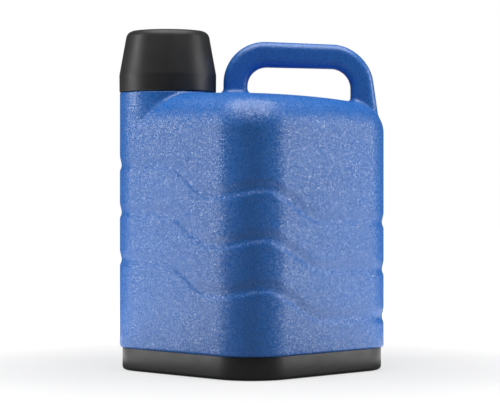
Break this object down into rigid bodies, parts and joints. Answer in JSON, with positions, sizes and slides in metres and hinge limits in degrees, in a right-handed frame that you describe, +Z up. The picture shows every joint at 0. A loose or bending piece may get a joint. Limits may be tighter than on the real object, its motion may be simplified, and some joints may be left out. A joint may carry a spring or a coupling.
{
  "type": "insulated water jug",
  "caption": "Square-bodied insulated water jug with a moulded carrying handle over the shoulder, a screw-on drinking cup over a pouring cap with a flip lid, and a flat base.",
  "frame": {"origin": "centre of the foot, on the surface the jug stands on", "axes": "+Z up; +X along the handle, from the neck's corner to the opposite corner of the body; the body's flat sides face halfway between the X and Y axes"},
  "size_m": [0.2429, 0.2424, 0.31],
  "materials": {
    "outer_shell": "pebble-grained polyethylene, smoother on the shoulder and handle",
    "base_cover": "satin moulded black",
    "foam_plug": "satin moulded black",
    "foam_insulation": "rigid expanded foam",
    "inner_tank": "plain food-grade plastic, slightly milky",
    "tank_neck": "plain food-grade plastic, slightly milky",
    "neck_seal": "plain soft rubber",
    "neck_lock_ring": "satin moulded black",
    "pour_cap_gasket": "plain soft rubber",
    "pour_cap": "satin moulded black",
    "stopper_plug": "plain food-grade plastic",
    "stopper_foam": "rigid expanded foam",
    "spout_lid_pin": "plain drawn wire",
    "spout_lid": "smooth moulded blue",
    "spout_lid_seal": "plain soft rubber",
    "cup_seal": "plain soft rubber",
    "cup_cap": "smooth satin black, worn a little at the edges"
  },
  "bodies": {
    "jug": {"outer_shell": "outer_shell", "base_cover": "base_cover", "foam_plug": "foam_plug", "foam_insulation": "foam_insulation", "inner_tank": "inner_tank", "tank_neck": "tank_neck", "neck_seal": "neck_seal", "neck_lock_ring": "neck_lock_ring"},
    "pour_cap_gasket_ring": {"pour_cap_gasket": "pour_cap_gasket"},
    "pouring_cap": {"pour_cap": "pour_cap", "stopper_plug": "stopper_plug", "stopper_foam": "stopper_foam", "spout_lid_pin": "spout_lid_pin"},
    "flip_lid": {"spout_lid": "spout_lid", "spout_lid_seal": "spout_lid_seal"},
    "cup_seal_ring": {"cup_seal": "cup_seal"},
    "cup": {"cup_cap": "cup_cap"}
  },
  "joints": [
    {"name": "pour_cap_rise", "type": "slide", "parent": "jug", "child": "pour_cap_gasket_ring", "axis": [0, 0, 1], "range_m": [0, 0.032]},
    {"name": "pour_cap_turn", "type": "hinge", "parent": "pour_cap_gasket_ring", "child": "pouring_cap", "pos_m": [-0.0772, 0, 0.26], "axis": [0, 0, 1], "range_deg": [0, 1440]},
    {"name": "spout_lid_hinge", "type": "hinge", "parent": "pouring_cap", "child": "flip_lid", "pos_m": [-0.0772, 0, 0.277], "axis": [0, 1, 0], "range_deg": [0, 115]},
    {"name": "cup_rise", "type": "slide", "parent": "pouring_cap", "child": "cup_seal_ring", "axis": [0, 0, 1], "range_m": [0, 0.06]},
    {"name": "cup_turn", "type": "hinge", "parent": "cup_seal_ring", "child": "cup", "pos_m": [-0.0772, 0, 0.282], "axis": [0, 0, 1], "range_deg": [0, 1800]}
  ],
  "couplings": [
    {"joint": "pour_cap_rise", "follows": "pour_cap_turn", "m_per_rad": 0.0012732},
    {"joint": "cup_rise", "follows": "cup_turn", "m_per_rad": 0.0019099}
  ]
}
